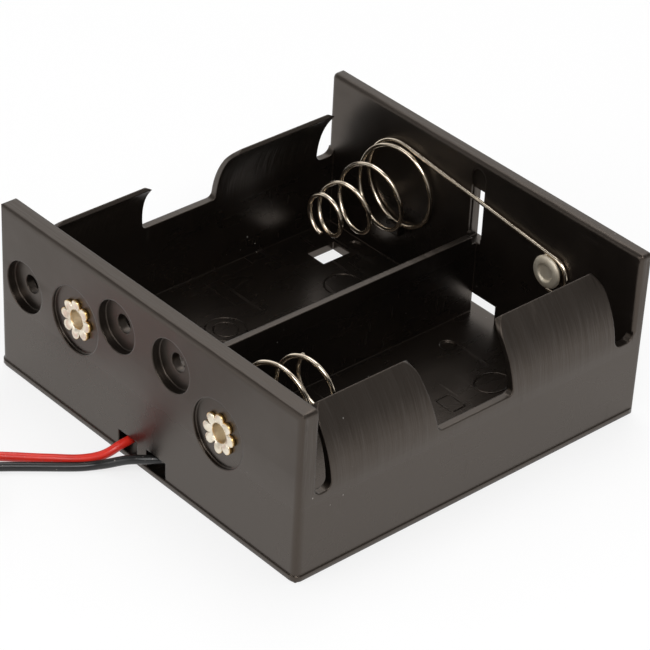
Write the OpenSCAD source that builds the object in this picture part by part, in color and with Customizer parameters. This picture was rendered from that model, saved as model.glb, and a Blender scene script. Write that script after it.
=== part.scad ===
// Open holder for two round cells that lie side by side and are wired in series.
// X runs along the cells, Y across the two bays and Z up. The origin is the middle of the underside.
// The front plate, at -X, carries the two contacts that the leads are soldered to.
// The back plate, at +X, carries the spring and the rivet that link one cell to the other.
// The left bay, at +Y, takes its cell with the spring at the back, and the right bay the other way round.

/* [Cells] */
// Diameter of a cell
cell_diameter = 34.2; // [32:0.1:36]
// Length of a cell
cell_length = 61.5; // [58:0.5:70]
// Play of a cell across its bay
bay_clearance = 0.4; // [0.2:0.1:1]
// Length of a bay that the squeezed spring and the contact take up
spring_space = 5.3; // [4.5:0.1:8]

/* [Housing] */
// Thickness of the side walls
side_wall = 1.4; // [1.2:0.1:1.8]
// Thickness of the wall between the bays
divider_wall = 1.2; // [1:0.1:2]
// Height of the wall between the bays
divider_height = 16.4; // [15.8:0.1:18]
// Radius of the divider's upper corner at the back plate
divider_corner = 1.5; // [0.5:0.1:2]
// Thickness of the floor
floor_thickness = 1.5; // [1.2:0.1:2]
// Height of the lip round the foot
lip_height = 1.1; // [0.8:0.1:1.4]
// How far the lip stands proud of the walls
lip_proud = 0.2; // [0.1:0.05:0.4]
// Chamfer under the lip
lip_chamfer = 0.4; // [0.2:0.1:0.6]
// Height of the two end plates
plate_height = 30.4; // [29:0.1:34]
// Thickness of the front plate
front_plate = 3; // [2.4:0.1:4]
// Thickness of the back plate
back_plate = 2.2; // [2:0.1:3]
// Rounding of the front plate's outer edges
front_edge_round = 1.3; // [0.5:0.1:1.6]
// Rounding of the back plate's outer edges
back_edge_round = 0.6; // [0.3:0.1:1.2]
// Rounding of the plates' upper corners
plate_corner = 1.8; // [0.5:0.1:3]

/* [Spring ears] */
// Height at which a side wall starts to bend over the cell
ear_bend_height = 14.2; // [13:0.1:15]
// Outer radius of the bend
ear_bend_radius = 17; // [16:0.1:20]
// Angle of the bend up to the ear's edge
ear_bend_angle = 47.8; // [40:0.1:52]
// Length of the gap between the two ears of a side
ear_gap = 15; // [10:0.5:20]
// How far the front ears stop short of the gap's middle part, at the gap's foot
ear_offset = 0.8; // [0:0.1:2]
// How far the front ears' gap side leans back towards the front plate
ear_lean = 1.2; // [0:0.1:2]
// Height of the bottom of that gap
ear_gap_height = 15.6; // [15:0.1:17]
// Fillet at the bottom of that gap
ear_gap_fillet = 1; // [0.5:0.1:2]
// Radius of the ears' upper corners
ear_corner = 3; // [1:0.1:5]
// Width of the slot between an ear and the front plate
front_slot = 3.4; // [3:0.1:5]
// Width of the slot between an ear and the back plate
back_slot = 4; // [3.2:0.1:5]
// Height of the bottom of the slots beside the plates
slot_height = 14.8; // [14.2:0.1:16]
// Fillet at the bottom of those slots
slot_fillet = 1.4; // [0.5:0.1:1.5]

/* [Moulded openings] */
// Diameter of the blank contact seats in the front plate
blank_seat = 9; // [7:0.1:10]
// Depth of the blank contact seats
blank_seat_depth = 1.5; // [0.5:0.1:2]
// Diameter of the hole in a blank contact seat
blank_hole = 3.2; // [2:0.1:4]
// Distance of the inner blank seats from the middle
inner_blank_y = 6.6; // [5:0.1:8]
// Height of the inner blank seats
inner_blank_height = 22.9; // [20:0.1:25]
// Distance of the outer blank seat from the middle
outer_blank_y = 30.1; // [29:0.1:30.5]
// Height of the outer blank seat
outer_blank_height = 17.9; // [16:0.1:20]
// Diameter of the seats that the crimped contacts lie in
contact_seat = 11.6; // [9:0.1:12]
// Depth of the seats that the crimped contacts lie in
contact_seat_depth = 0.6; // [0.4:0.1:1]
// Distance from the middle to the near side of a lead window
window_near_y = 1.2; // [1:0.1:1.3]
// Distance from the middle to the far side of a lead window
window_far_y = 5.8; // [5.4:0.1:8]
// Height of the top of the lead windows
window_top = 4.2; // [4.2:0.1:6]
// Width of the slot in the back plate above the divider
link_slot = 2.9; // [2:0.1:4]
// Height of the bottom of that slot
link_slot_bottom = 15; // [13:0.1:15.4]
// Height of the top of that slot
link_slot_top = 24.7; // [20:0.1:26]
// Width of the groove that runs on above the slot
groove_width = 3.2; // [3:0.1:5]
// Depth of that groove
groove_depth = 0.6; // [0.3:0.1:1]
// Height of the groove's round top
groove_top = 28.8; // [27.5:0.1:29]
// Width of the window at the foot of the back plate
back_window = 12.4; // [8:0.1:16]
// Height of the top of that window
back_window_top = 5.2; // [4:0.1:7]
// Length of the hole through the floor of each bay
floor_hole_length = 6; // [4.5:0.1:8]
// Width of the hole through the floor of each bay
floor_hole_width = 4.3; // [4.1:0.1:6]
// Distance from the middle of the length to the middle of a floor hole
floor_hole_x = 26.6; // [20:0.1:27]
// Distance from the middle of the width to the middle of a floor hole
floor_hole_y = 27.4; // [20:0.1:29]
// Width of the hook that holds the link spring's base turn
hook_width = 3; // [2:0.1:5]
// Thickness of the hook's ledge
hook_thickness = 1.3; // [1:0.1:2]
// Thickness of the hook's lip
hook_lip = 0.8; // [0.6:0.1:1.5]
// Height of the hook's lip above its ledge
hook_lip_height = 0.8; // [0.4:0.1:1.2]
// Diameter of the ejector marks in the floor
ejector_mark = 2.7; // [2:0.1:4]
// Depth of the ejector marks
ejector_depth = 0.3; // [0.1:0.05:0.5]

/* [Springs] */
// Diameter of the spring wire
spring_wire = 0.75; // [0.6:0.05:1]
// Radius of a spring's base turn, to the middle of the wire
base_radius = 7.8; // [7.6:0.1:8.4]
// Radius of the link spring's end turn, to the middle of the wire
link_end_radius = 3.7; // [3.2:0.1:5]
// Radius of the negative spring's end turn, to the middle of the wire
negative_end_radius = 4.7; // [3.7:0.1:5.5]
// Rise of the springs from turn to turn
spring_pitch = 5.8; // [4:0.1:6.5]
// Number of open turns
open_turns = 2.85; // [2.25:0.05:4]
// Part of a turn that the link spring's base lies flat
link_flat = 0.8; // [0.7:0.01:0.84]
// Part of a turn that the negative spring's base lies flat
negative_flat = 0.62; // [0.5:0.01:0.66]
// Height of the middle of the link spring
link_spring_height = 17.6; // [17.2:0.1:18.2]
// Height of the middle of the negative spring
negative_spring_height = 17.6; // [17.5:0.1:18.5]
// Radius of the loop round the link rivet
rivet_loop_radius = 3.15; // [3:0.05:3.5]

/* [Contacts] */
// Radius of an eyelet's head
head_radius = 2.9; // [2.8:0.05:3.4]
// Thickness of an eyelet's head
head_thickness = 0.85; // [0.7:0.05:1.2]
// Depth of the dish in an eyelet's head
dish_depth = 0.15; // [0.05:0.05:0.3]
// Outer radius of an eyelet's barrel
barrel_radius = 2; // [1.8:0.05:2.1]
// Wall of an eyelet's barrel
barrel_wall = 0.35; // [0.2:0.05:0.5]
// Reach of the crimped petals from the axis
petal_reach = 3.6; // [3.2:0.05:4]
// Thickness of the crimped petals
petal_thickness = 0.35; // [0.2:0.05:0.5]
// Number of crimped petals
petal_count = 8; // [6:1:8]
// How far the positive contact sits from the middle of its bay, towards the divider
positive_shift = 0.9; // [0:0.1:2]
// How far the negative contact sits below the axis of its cell
negative_drop = 1.8; // [0.5:0.1:2]
// Outer radius of a solder lug's ring
lug_radius = 3.4; // [3:0.1:3.8]
// Thickness of a solder lug
lug_thickness = 0.4; // [0.3:0.05:0.6]
// Width of a solder lug's tail
lug_tail = 2.6; // [2:0.1:3]
// Reach of a solder lug's tail from the axis
lug_reach = 6; // [5.8:0.1:6.2]

/* [Leads] */
// Diameter of a lead over its insulation
lead_diameter = 1.5; // [1.2:0.05:1.6]
// Diameter of a lead's tinned tip
tip_diameter = 0.9; // [0.6:0.05:1.1]
// Length of a lead's tinned tip
tip_length = 6; // [3:0.5:8]
// Diameter of a stored coil, to the middle of its turns
coil_diameter = 15.5; // [15:0.5:18]
// Turns of a stored coil
coil_turns = 2; // [2:1:4]
// Width of the band that ties a coil
tie_width = 2; // [1:0.1:3]
// Thickness of the band that ties a coil
tie_thickness = 0.35; // [0.2:0.05:0.5]

/* [Hidden] */
$fn = 64;

// Clearance between parts that only lie against each other
seat_gap = 0.02;
// Clearance of an eyelet's barrel in its hole
barrel_clearance = 0.05;
// Clearance of a tie round its coil
tie_clearance = 0.1;
// Overrun of a cut past the face that it starts from
cut = 1;
// Points in a turn of a spring, and the part of a turn that lies closed at each spring's end
turn_steps = 24;
link_closed = 0.85;
negative_closed = 0.5;

// Bays
bay_width = cell_diameter + bay_clearance;
bay_y = divider_wall / 2 + bay_width / 2;
half_width = divider_wall / 2 + bay_width + side_wall;
cell_z = floor_thickness + cell_diameter / 2;
inner_length = cell_length + spring_space;
total_length = inner_length + front_plate + back_plate;
x_front = -total_length / 2;
x_front_in = x_front + front_plate;
x_back = total_length / 2;
x_back_in = x_back - back_plate;

// Contacts, as places across and up
positive_spot = [bay_y - positive_shift, cell_z];
negative_spot = [-bay_y, cell_z - negative_drop];
link_spot = [-bay_y, cell_z];
ejector_places = [[x_back_in - 10.1, -5.8], [x_back_in - 2, half_width - 10]];
blank_spots = [
    [outer_blank_y, outer_blank_height],
    [inner_blank_y, inner_blank_height],
    [-inner_blank_y, inner_blank_height]
];
bore_radius = barrel_radius - barrel_wall;
barrel_hole = barrel_radius + barrel_clearance;

// Colours
plastic = "#3a332e";
nickel = "#c9c4b4";
tin = "#d8d8d6";

// ---- Functions ----

function unit(v) = v / norm(v);
function heading(path, i) = unit(path[min(i + 1, len(path) - 1)] - path[max(i - 1, 0)]);

// Zero below -w, t above w, and a smooth bend between
function eased(t, w = 0.2) = t <= -w ? 0 : t >= w ? t : pow(t + w, 2) / (4 * w);
// Runs from 0 to 1 with level ends
function smooth(t) = t <= 0 ? 0 : t >= 1 ? 1 : t * t * (3 - 2 * t);

// A point at angle a from the top, seen from the front, turning towards -Y
function around(x, spot, r, a) = [x, spot[0] - r * sin(a), spot[1] + r * cos(a)];

// Points of a ring round p, square to the direction t
function ring(p, t, side, r, sides) =
    let (u = unit(cross(t, side)), v = cross(t, u))
    [for (i = [0 : sides - 1]) p + r * (cos(360 * i / sides) * u + sin(360 * i / sides) * v)];

// ---- Shared shapes ----

// A round tube along a path, with its first and last rings square to the given directions
module tube(path, d, sides, side, first = undef, last = undef) {
    n = len(path);
    directions = [
        for (i = [0 : n - 1])
            i == 0 && first != undef ? unit(first) : i == n - 1 && last != undef ? unit(last) : heading(path, i)
    ];
    points = [for (i = [0 : n - 1]) each ring(path[i], directions[i], side, d / 2, sides)];
    skin = [
        for (i = [0 : n - 2], j = [0 : sides - 1])
            let (k = (j + 1) % sides, a = i * sides, b = a + sides)
            each [[a + j, b + j, b + k], [a + j, b + k, a + k]]
    ];
    start = [for (j = [0 : sides - 1]) j];
    end = [for (j = [sides - 1 : -1 : 0]) (n - 1) * sides + j];
    polyhedron(points, concat(skin, [start, end]));
}

// A cylinder along X
module x_cylinder(x0, x1, spot, r) {
    translate([x0, spot[0], spot[1]]) rotate([0, 90, 0]) cylinder(h = x1 - x0, r = r);
}

// A box between two corners
module block(low, high) {
    translate(low) cube(high - low);
}

// An outline in Y and Z, pushed along X
module push_x(x0, x1) {
    translate([x0, 0, 0]) rotate([90, 0, 90]) linear_extrude(x1 - x0) children();
}

// An outline in X and Z, pushed along Y
module push_y(y0, y1) {
    translate([0, y1, 0]) rotate([90, 0, 0]) linear_extrude(y1 - y0) children();
}

// What a round corner of radius r takes away from a square one that points to dx, dy
module corner_cut(corner, dx, dy, r) {
    reach = r + cut;
    translate(corner - r * [dx, dy]) difference() {
        translate([dx > 0 ? 0 : -reach, dy > 0 ? 0 : -reach]) square(reach);
        circle(r);
    }
}

// A rectangle with its own radius at each corner, from the lower left one round to the upper left one
module rounded_rect(low, high, radii) {
    difference() {
        translate(low) square(high - low);
        if (radii[0] > 0) corner_cut(low, -1, -1, radii[0]);
        if (radii[1] > 0) corner_cut([high[0], low[1]], 1, -1, radii[1]);
        if (radii[2] > 0) corner_cut(high, 1, 1, radii[2]);
        if (radii[3] > 0) corner_cut([low[0], high[1]], -1, 1, radii[3]);
    }
}

// ---- Housing ----

// The foot, with a lip that is round at its corners and chamfered underneath
module foot() {
    w = half_width + lip_proud;
    x0 = x_front - lip_proud;
    x1 = x_back + lip_proud;
    r = front_edge_round + lip_proud;
    intersection() {
        linear_extrude(lip_height) rounded_rect([x0, -w], [x1, w], [r, r, r, r]);
        push_x(x0 - cut, x1 + cut) lip_section(-w, w);
        push_y(-w - cut, w + cut) lip_section(x0, x1);
    }
    block([x_front + front_plate / 2, -half_width, 0], [x_back - back_plate / 2, half_width, floor_thickness]);
}

module lip_section(a, b) {
    c = lip_chamfer;
    polygon([[a + c, 0], [b - c, 0], [b, c], [b, lip_height + cut], [a, lip_height + cut], [a, c]]);
}

// An end plate, round at its outer edges and upper corners; outward is -1 for the front, 1 for the back
module end_plate(x0, x1, outward, edge_round) {
    w = half_width;
    front_r = outward < 0 ? edge_round : 0;
    back_r = outward < 0 ? 0 : edge_round;
    intersection() {
        linear_extrude(plate_height) rounded_rect([x0, -w], [x1, w], [front_r, back_r, back_r, front_r]);
        push_x(x0 - cut, x1 + cut) rounded_rect([-w, 0], [w, plate_height], [0, 0, plate_corner, plate_corner]);
        push_y(-w - cut, w + cut) rounded_rect([x0, 0], [x1, plate_height], [0, 0, back_r, front_r]);
    }
}

// The section of the side wall at +Y: upright, then bent over the cell
module wall_section() {
    inner = ear_bend_radius - side_wall;
    far = 2 * ear_bend_radius;
    translate([half_width - side_wall, 0]) square([side_wall, ear_bend_height]);
    translate([half_width - ear_bend_radius, ear_bend_height]) intersection() {
        difference() {
            circle(ear_bend_radius);
            circle(inner);
        }
        polygon([[0, 0], [far, 0], [far, far], far * [cos(ear_bend_angle), sin(ear_bend_angle)]]);
    }
}

// The outline of a side wall seen from the side: two ears, the gap between them and a slot at each plate
module wall_outline() {
    top = ear_bend_height + ear_bend_radius * sin(ear_bend_angle) + 0.2;
    front_ear = x_front_in + front_slot;
    back_ear = x_back_in - back_slot;
    gap = ear_gap / 2;
    difference() {
        translate([x_front_in - cut, -cut]) square([inner_length + 2 * cut, top + cut]);
        rounded_rect([x_front_in, slot_height], [front_ear, top + cut], [slot_fillet, slot_fillet, 0, 0]);
        rounded_rect([-gap - ear_offset, ear_gap_height], [gap, top + cut], [ear_gap_fillet, ear_gap_fillet, 0, 0]);
        polygon([
            [-gap - ear_offset, ear_gap_height + ear_gap_fillet],
            [-gap, top + cut],
            [-gap - ear_offset - ear_lean, top + cut],
            [-gap - ear_offset - ear_lean, top - ear_corner]
        ]);
        rounded_rect([back_ear, slot_height], [x_back_in, top + cut], [slot_fillet, slot_fillet, 0, 0]);
        corner_cut([front_ear, top], -1, 1, ear_corner);
        corner_cut([-gap - ear_offset - ear_lean, top], 1, 1, ear_corner);
        corner_cut([gap, top], -1, 1, ear_corner);
        corner_cut([back_ear, top], 1, 1, ear_corner);
    }
}

// The side wall at +Y, with its two spring ears
module side_wall_solid() {
    intersection() {
        push_x(x_front_in - cut, x_back_in + cut) wall_section();
        push_y(0, half_width + cut) wall_outline();
    }
}

module divider() {
    push_y(-divider_wall / 2, divider_wall / 2)
        rounded_rect([x_front_in - cut, 0], [x_back_in, divider_height], [0, 0, divider_corner, 0]);
}

// The ledge and lip on the back plate that hold the foot of the link spring's base turn
module spring_hook() {
    ledge = link_spring_height - base_radius - spring_wire / 2 - seat_gap;
    x_lip = x_back_in - spring_wire - 3 * seat_gap;
    low = ledge - hook_thickness;
    push_y(bay_y - hook_width / 2, bay_y + hook_width / 2) polygon([
        [x_back_in + cut, low],
        [x_back_in + cut, ledge],
        [x_lip, ledge],
        [x_lip, ledge + hook_lip_height],
        [x_lip - hook_lip, ledge + hook_lip_height],
        [x_lip - hook_lip, low]
    ]);
}

// A seat and a through hole for a contact, from the outer face at x and into the plate
module contact_cut(x, inward, spot, seat_d, seat_depth, hole_d) {
    far = x + inward * (max(front_plate, back_plate) + cut);
    bottom = x + inward * seat_depth;
    start = x - inward * cut;
    x_cylinder(min(start, bottom), max(start, bottom), spot, seat_d / 2);
    x_cylinder(min(start, far), max(start, far), spot, hole_d / 2);
}

module housing_shell() {
    foot();
    end_plate(x_front, x_front_in, -1, front_edge_round);
    end_plate(x_back_in, x_back, 1, back_edge_round);
    side_wall_solid();
    mirror([0, 1, 0]) side_wall_solid();
    divider();
    spring_hook();
}

module housing() color(plastic) difference() {
    housing_shell();
    // Contact seats of the front plate, used and blank
    for (spot = blank_spots)
        contact_cut(x_front, 1, spot, blank_seat, blank_seat_depth, blank_hole);
    for (spot = [positive_spot, negative_spot])
        contact_cut(x_front, 1, spot, contact_seat, contact_seat_depth, 2 * barrel_hole);
    contact_cut(x_back, -1, link_spot, contact_seat, contact_seat_depth, 2 * barrel_hole);
    // Windows for the leads
    for (side = [0, 1])
        mirror([0, side, 0])
            block([x_front - cut, window_near_y, lip_height], [x_front_in, window_far_y, window_top]);
    // Slot, groove and window of the back plate
    block([x_back_in - cut, -link_slot / 2, link_slot_bottom], [x_back + cut, link_slot / 2, link_slot_top]);
    groove();
    block([x_back_in, -back_window / 2, floor_thickness], [x_back + cut, back_window / 2, back_window_top]);
    // Floor holes, one in each bay, and ejector marks
    for (turn = [0, 180])
        rotate([0, 0, turn]) translate([floor_hole_x, floor_hole_y, 0])
            block(
                [-floor_hole_length / 2, -floor_hole_width / 2, -cut],
                [floor_hole_length / 2, floor_hole_width / 2, floor_thickness + cut]
            );
    for (turn = [0, 180], place = ejector_places)
        rotate([0, 0, turn]) translate([place[0], place[1], floor_thickness - ejector_depth])
            cylinder(h = ejector_depth + cut, r = ejector_mark / 2);
}

// The round-topped groove in the inner face of the back plate
module groove() {
    r = groove_width / 2;
    push_x(x_back_in - cut, x_back_in + groove_depth) {
        translate([-r, link_slot_bottom + cut]) square([groove_width, groove_top - r - link_slot_bottom - cut]);
        translate([0, groove_top - r]) circle(r);
    }
}

// ---- Springs ----

// Rise of a conical spring above its base, in turns, with closed turns at both ends
function rise(u) = eased(u) - eased(u - open_turns);
// Distance of the wire from the base turn, at u turns up the open part
function lift(u) = spring_pitch * rise(u) + 1.06 * spring_wire * eased(u - open_turns);
// Radius of the wire's turn at u turns up the open part
function cone_radius(u, end) = base_radius + (end - base_radius) * rise(u) / open_turns;

module link_spring() color(nickel) tube(link_path(), spring_wire, 8, [1, 0, 0]);

// End turn, open turns and base turn of the link spring, its straight tail, and the loop round the rivet
function link_path() =
    let (
        x = x_back_in - spring_wire / 2 - seat_gap,
        centre = [bay_y, link_spring_height],
        loop = link_spot - rivet_slack() * [cos(30), sin(30)],
        reach = norm(centre - loop),
        slope = atan((centre[1] - loop[1]) / (centre[0] - loop[0])),
        tilt = slope + asin((base_radius - rivet_loop_radius) / reach),
        steps = round(turn_steps * (open_turns + link_closed + link_flat))
    )
    concat(
        [
            for (i = [steps : -1 : 0])
                let (u = i / turn_steps - link_flat)
                around(x - lift(u), centre, cone_radius(u, link_end_radius), tilt - 360 / turn_steps * i)
        ],
        [
            for (t = [0.2 : 0.2 : 0.8])
                (1 - t) * around(x, centre, base_radius, tilt) + t * around(x, loop, rivet_loop_radius, tilt)
        ],
        [for (a = [0 : 15 : 330]) around(x, loop, rivet_loop_radius, tilt + a)]
    );

// Slack between the loop and the rivet's barrel, which the tail pulls to one side
function rivet_slack() = rivet_loop_radius - spring_wire / 2 - barrel_radius - 2 * seat_gap;

module negative_spring() color(nickel) tube(negative_path(), spring_wire, 8, [1, 0, 0]);

// Loop under the eyelet's head, spiral out to the base turn, open turns and end turn
function negative_path() =
    let (
        x = x_front_in + spring_wire / 2 + seat_gap,
        x_loop = x + lug_thickness,
        centre = [-bay_y + 0.4, negative_spring_height],
        loop_radius = barrel_radius + spring_wire / 2 + 2 * seat_gap,
        start = -negative_flat * 360 + 180,
        sweep = 115
    )
    concat(
        [for (a = [-300 : 20 : -20]) around(x_loop, negative_spot, loop_radius, start - sweep + a)],
        [
            for (i = [0 : 10])
                let (t = i / 10, s = smooth(t))
                around(
                    x_loop + (x - x_loop) * smooth(2 * t - 0.7),
                    (1 - s) * negative_spot + s * centre,
                    loop_radius + (base_radius - loop_radius) * s,
                    start - sweep + sweep * t
                )
        ],
        [
            for (i = [1 : round(turn_steps * (open_turns + negative_closed + negative_flat))])
                let (u = i / turn_steps - negative_flat)
                around(x + lift(u), centre, cone_radius(u, negative_end_radius), start + 360 / turn_steps * i)
        ]
    );

// ---- Contacts ----

// A closed-head eyelet along +Z: the head lies inside the bay, and the petals in the seat outside
module eyelet(stack, plate, seat_depth) {
    far = seat_depth - plate;
    edge = 0.25;
    difference() {
        union() {
            rotate_extrude() polygon([
                [0, stack],
                [head_radius, stack],
                [head_radius, stack + head_thickness - edge],
                [head_radius - edge, stack + head_thickness],
                [head_radius - 3 * edge, stack + head_thickness],
                [head_radius - 4 * edge, stack + head_thickness - dish_depth],
                [0, stack + head_thickness - dish_depth]
            ]);
            translate([0, 0, far]) cylinder(h = stack - far + cut * 0.1, r = barrel_radius);
            translate([0, 0, far - petal_thickness]) linear_extrude(petal_thickness) petals();
        }
        translate([0, 0, far - petal_thickness - cut])
            cylinder(h = stack - far + petal_thickness + cut, r = bore_radius);
        translate([0, 0, far - petal_thickness - 0.01])
            cylinder(h = barrel_wall, r1 = bore_radius + barrel_wall, r2 = bore_radius);
    }
}

// The split and flattened end of an eyelet's barrel
module petals() {
    lobe = petal_reach * sin(180 / petal_count) / (1 + sin(180 / petal_count)) * 0.92;
    circle(barrel_radius + 0.5);
    for (i = [0 : petal_count - 1])
        rotate(360 * i / petal_count) translate([petal_reach - lobe, 0]) circle(lobe);
}

module on_front(spot) {
    translate([x_front_in, spot[0], spot[1]]) rotate([0, 90, 0]) children();
}

module positive_eyelet() color(nickel)
    on_front(positive_spot) eyelet(lug_thickness + 2 * seat_gap, front_plate, contact_seat_depth);

module negative_eyelet() color(nickel)
    on_front(negative_spot)
        eyelet(lug_thickness + spring_wire + 4 * seat_gap, front_plate, contact_seat_depth);

module link_rivet() color(nickel)
    translate([x_back_in, link_spot[0], link_spot[1]]) rotate([0, -90, 0])
        eyelet(spring_wire + 3 * seat_gap, back_plate, contact_seat_depth);

// A flat ring with a tail that points along +X of its own plane
module lug() {
    r = lug_tail / 2;
    linear_extrude(lug_thickness) difference() {
        union() {
            circle(lug_radius);
            translate([0, -r]) square([lug_reach - r, lug_tail]);
            translate([lug_reach - r, 0]) circle(r);
        }
        circle(barrel_hole);
    }
}

// Direction of a lug's tail, as an angle from -Z towards +Y, seen along X
positive_tail = -45;
negative_tail = -20;

module positive_lug() color(nickel)
    translate([seat_gap, 0, 0]) on_front(positive_spot) rotate(positive_tail) lug();

module negative_lug() color(nickel)
    translate([seat_gap, 0, 0]) on_front(negative_spot) rotate(negative_tail) lug();

// A place on a lug's tail, at a distance from its eyelet and a height above the front plate
function on_tail(spot, tail, reach, height) =
    [x_front_in + height, spot[0] + reach * sin(tail), spot[1] - reach * cos(tail)];

solder_radius = 1.25;
solder_reach = lug_reach - solder_radius - 0.05;
lug_top = lug_thickness + 2 * seat_gap;

// A bead of solder, flat where it lies on the lug
module solder(spot, tail) {
    translate(on_tail(spot, tail, solder_reach, lug_top)) rotate([0, 90, 0]) intersection() {
        translate([0, 0, 0.35]) sphere(solder_radius);
        cylinder(h = 2 * solder_radius, r = 2 * solder_radius);
    }
}

module red_solder() color(tin) solder(positive_spot, positive_tail);
module black_solder() color(tin) solder(negative_spot, negative_tail);

// ---- Leads ----

red_paint = "#cc2a20";
black_paint = "#1b1a19";
lead_radius = lead_diameter / 2;
// Reach of the bends inside, from the solder and from the window, and the rise over the base turn
lead_bend = 5;
exit_bend = 11;
lead_lift = 1.6;

// Routes outside, out from the front plate's face where X is 0, to the start of the stored coil
red_route = [
    [0, 3.8, 2.9], [-1.4, 3.8, 2.8], [-2.8, 4.0, 2.3], [-4.1, 4.7, 1.6], [-5.6, 5.8, 1.1],
    [-7.4, 7.3, 0.8], [-9.5, 9.1, 0.8], [-11.8, 11.1, 0.8], [-14.2, 13.3, 0.8], [-16.6, 15.4, 0.8],
    [-19, 17.5, 0.8], [-21.2, 19.5, 0.8], [-23.4, 21.6, 0.9], [-25.5, 23.7, 1.1], [-27.6, 25.8, 1.2]
];
black_route = [
    [0, -2.3, 3.0], [-1.3, -1.3, 3.0], [-2.5, -0.1, 2.8], [-3.5, 1.2, 2.2], [-4.5, 2.5, 1.5],
    [-5.8, 3.8, 1.0], [-7.5, 5.0, 0.8], [-9.6, 6.5, 0.8], [-12.0, 8.4, 0.8], [-14.4, 10.3, 0.8],
    [-17, 12.3, 0.8], [-19.8, 14.3, 0.8], [-22.6, 16.2, 0.9], [-25.5, 17.9, 1.1], [-28.4, 19.5, 1.2]
];
// Free end beyond the coil, as along, outward and down from where the lead leaves the top turn
free_end = [[0, 0, 0], [2, 0, 0], [4, 0.1, -0.2], [5.9, 0.3, -0.6], [7.7, 0.6, -1.1], [9.5, 0.9, -1.6]];
// Which side of the lead its coil turns to, seen from above: 1 for right, -1 for left
red_turn = 1;
black_turn = -1;
// Where the tie sits round the coil, as an angle from +X
red_tie_angle = 20;
black_tie_angle = 200;

coil_bottom = tie_thickness + tie_clearance;
coil_top = coil_bottom + lead_diameter * (coil_turns + 1);

function outside(route) = [for (p = route) p + [x_front, 0, 0]];
function exit_heading(route) = unit(route[1] - route[0]);
function level(v) = unit([v[0], v[1], 0]);
function end_heading(route) = level(route[len(route) - 1] - route[len(route) - 2]);
function right_of(h) = [h[1], -h[0], 0];
function coil_start(route) = outside(route)[len(route) - 1];
function coil_centre(route, turn) =
    let (p = coil_start(route) + turn * coil_diameter / 2 * right_of(end_heading(route)))
    [p[0], p[1], coil_bottom];
function end_path(route, turn) =
    let (
        h = end_heading(route),
        out = -turn * right_of(h),
        start = coil_start(route) + [0, 0, lead_diameter * coil_turns]
    )
    [for (p = free_end) start + p[0] * h + p[1] * out + [0, 0, p[2]]];
function bezier(a, b, c, d, t) =
    pow(1 - t, 3) * a + 3 * t * pow(1 - t, 2) * b + 3 * t * t * (1 - t) * c + pow(t, 3) * d;

// The run inside, from the solder bead over the spring's base turn, down and out through the window
function inner_path(spot, tail, route) =
    let (
        start = on_tail(spot, tail, solder_reach, lug_top + lead_radius + seat_gap),
        away = [lead_lift, lead_bend * sin(tail), -lead_bend * cos(tail)],
        exit = outside(route)[0],
        steps = 14
    )
    [for (i = [0 : steps]) bezier(start, start + away, exit - exit_bend * exit_heading(route), exit, i / steps)];

module inner_lead(spot, tail, route) {
    path = inner_path(spot, tail, route);
    side = cross([0, sin(tail), -cos(tail)], exit_heading(route));
    tube(path, lead_diameter, 8, side, undef, exit_heading(route));
}

module outer_lead(route) {
    tube(outside(route), lead_diameter, 8, [0, 0, 1], exit_heading(route), end_heading(route));
}

// Closed solid of the stored turns, which lie one on the other
module lead_coil(route, turn) {
    height = coil_top - coil_bottom;
    translate(coil_centre(route, turn)) rotate_extrude() {
        translate([coil_diameter / 2 - lead_radius, lead_radius]) square([lead_diameter, height - lead_diameter]);
        for (z = [lead_radius, height - lead_radius])
            translate([coil_diameter / 2, z]) circle(lead_radius);
    }
}

// A flat band round the section of a coil
module coil_tie(route, turn, angle) {
    height = coil_top - coil_bottom;
    a = lead_radius + tie_clearance;
    b = a + tie_thickness;
    corner = tie_thickness * 2;
    translate(coil_centre(route, turn)) rotate(angle) translate([coil_diameter / 2, 0, 0])
        push_y(-tie_width / 2, tie_width / 2) difference() {
            rounded_rect([-b, -coil_bottom], [b, height + coil_bottom], [corner, corner, corner, corner]);
            translate([-a, -tie_clearance]) square([2 * a, height + 2 * tie_clearance]);
        }
}

module lead_end(route, turn) {
    tube(end_path(route, turn), lead_diameter, 8, [0, 0, 1]);
}

module lead_tip(route, turn) {
    path = end_path(route, turn);
    n = len(path);
    h = unit(path[n - 1] - path[n - 2]);
    translate(path[n - 1]) rotate([0, acos(h[2]), atan2(h[1], h[0])]) cylinder(h = tip_length, r = tip_diameter / 2);
}

module black_lead_inner() color(black_paint) inner_lead(negative_spot, negative_tail, black_route);
module red_lead_inner() color(red_paint) inner_lead(positive_spot, positive_tail, red_route);
module black_lead() color(black_paint) outer_lead(black_route);
module red_lead() color(red_paint) outer_lead(red_route);
module black_lead_coil() color(black_paint) lead_coil(black_route, black_turn);
module red_lead_coil() color(red_paint) lead_coil(red_route, red_turn);
module black_coil_tie() color(plastic) coil_tie(black_route, black_turn, black_tie_angle);
module red_coil_tie() color(plastic) coil_tie(red_route, red_turn, red_tie_angle);
module black_lead_end() color(black_paint) lead_end(black_route, black_turn);
module red_lead_end() color(red_paint) lead_end(red_route, red_turn);
module black_lead_tip() color(tin) lead_tip(black_route, black_turn);
module red_lead_tip() color(tin) lead_tip(red_route, red_turn);

housing();
link_spring();
negative_spring();
link_rivet();
negative_eyelet();
positive_eyelet();
negative_lug();
positive_lug();
black_solder();
red_solder();
black_lead_inner();
red_lead_inner();
black_lead();
red_lead();
black_lead_coil();
red_lead_coil();
black_coil_tie();
red_coil_tie();
black_lead_end();
red_lead_end();
black_lead_tip();
red_lead_tip();
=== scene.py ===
import math
import bpy
import bmesh
import numpy as np
from mathutils import Matrix, Vector


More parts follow.
